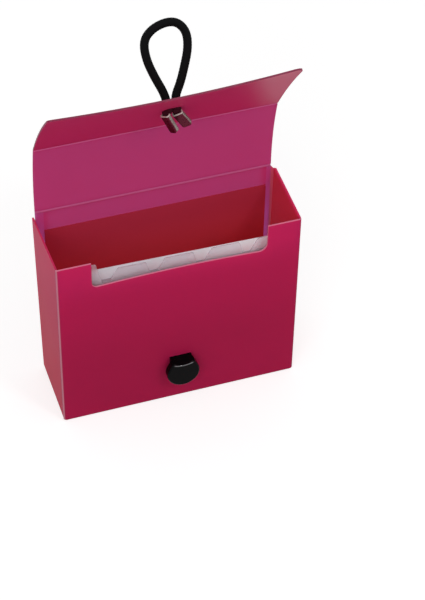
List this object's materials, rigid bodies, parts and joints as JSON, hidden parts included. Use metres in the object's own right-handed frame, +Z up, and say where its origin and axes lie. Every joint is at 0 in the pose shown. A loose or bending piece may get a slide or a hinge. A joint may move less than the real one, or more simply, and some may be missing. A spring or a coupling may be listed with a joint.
{
  "type": "flashcard box",
  "caption": "Folded translucent plastic card case with a two-crease lid, elastic loop and catch button, holding tabbed index dividers behind a finger cutout.",
  "frame": {"origin": "centre of the base's underside", "axes": "+X across the front to the right, +Y from the front to the back, +Z up"},
  "size_m": [0.1142, 0.0464, 0.1872],
  "materials": {
    "sheet_plastic": "translucent frosted polypropylene, raspberry pink",
    "button_plastic": "glossy black moulded plastic",
    "elastic_cord": "black braided elastic",
    "crimp_metal": "bright nickel-plated steel",
    "divider_film": "frosted clear film",
    "white_paper": "plain white paper",
    "backing_paper": "plain coloured card"
  },
  "bodies": {
    "case": {"base_panel": "sheet_plastic", "front_panel": "sheet_plastic", "back_panel": "sheet_plastic", "left_side_panel": "sheet_plastic", "left_rear_flap": "sheet_plastic", "left_bottom_flap": "sheet_plastic", "right_side_panel": "sheet_plastic", "right_rear_flap": "sheet_plastic", "right_bottom_flap": "sheet_plastic", "lid_crease": "sheet_plastic", "catch_button": "button_plastic", "button_retainer": "button_plastic", "backing_sheet": "backing_paper"},
    "lid": {"lid_panel": "sheet_plastic", "lip_crease": "sheet_plastic"},
    "lip": {"lid_lip": "sheet_plastic", "cord_neck": "elastic_cord"},
    "loop": {"elastic_loop": "elastic_cord"},
    "left_end": {"crimp_left": "crimp_metal", "cord_end_left": "elastic_cord"},
    "right_end": {"crimp_right": "crimp_metal", "cord_end_right": "elastic_cord"},
    "divider_1": {"divider_1": "divider_film"},
    "divider_2": {"divider_2": "divider_film"},
    "divider_3": {"divider_3": "divider_film"},
    "divider_4": {"divider_4": "divider_film"},
    "divider_5": {"divider_5": "divider_film"},
    "index_sheet": {"index_sheet": "white_paper"}
  },
  "joints": [
    {"name": "lid_hinge", "type": "hinge", "parent": "case", "child": "lid", "pos_m": [0, 0.01835, 0.0986], "axis": [-1, 0, 0], "range_deg": [-83, 140]},
    {"name": "lip_hinge", "type": "hinge", "parent": "lid", "child": "lip", "pos_m": [0, 0.01364, 0.13752], "axis": [-1, 0, 0], "range_deg": [-52, 30]},
    {"name": "loop_swing", "type": "hinge", "parent": "lip", "child": "loop", "pos_m": [0.0018, 0.00156, 0.15851], "axis": [-1, 0, 0], "range_deg": [-64, 30], "stiffness_Nm_per_rad": 0.005, "deforming": ["elastic_loop", "cord_neck"]},
    {"name": "left_end_swing", "type": "hinge", "parent": "lip", "child": "left_end", "pos_m": [0.0018, -0.00282, 0.15503], "axis": [1, 0, 0], "range_deg": [-120, 6], "stiffness_Nm_per_rad": 0.0005, "deforming": ["cord_neck"]},
    {"name": "right_end_swing", "type": "hinge", "parent": "lip", "child": "right_end", "pos_m": [0.0018, -0.00282, 0.15503], "axis": [1, 0, 0], "range_deg": [-139, 32], "stiffness_Nm_per_rad": 0.0005, "deforming": ["cord_neck"]},
    {"name": "divider_1_lift", "type": "slide", "parent": "case", "child": "divider_1", "axis": [0, 0, 1], "range_m": [0, 0.06]},
    {"name": "divider_2_lift", "type": "slide", "parent": "case", "child": "divider_2", "axis": [0, 0, 1], "range_m": [0, 0.06]},
    {"name": "divider_3_lift", "type": "slide", "parent": "case", "child": "divider_3", "axis": [0, 0, 1], "range_m": [0, 0.06]},
    {"name": "divider_4_lift", "type": "slide", "parent": "case", "child": "divider_4", "axis": [0, 0, 1], "range_m": [0, 0.06]},
    {"name": "divider_5_lift", "type": "slide", "parent": "case", "child": "divider_5", "axis": [0, 0, 1], "range_m": [0, 0.06]},
    {"name": "index_sheet_lift", "type": "slide", "parent": "case", "child": "index_sheet", "axis": [0, 0, 1], "range_m": [0, 0.06]}
  ]
}
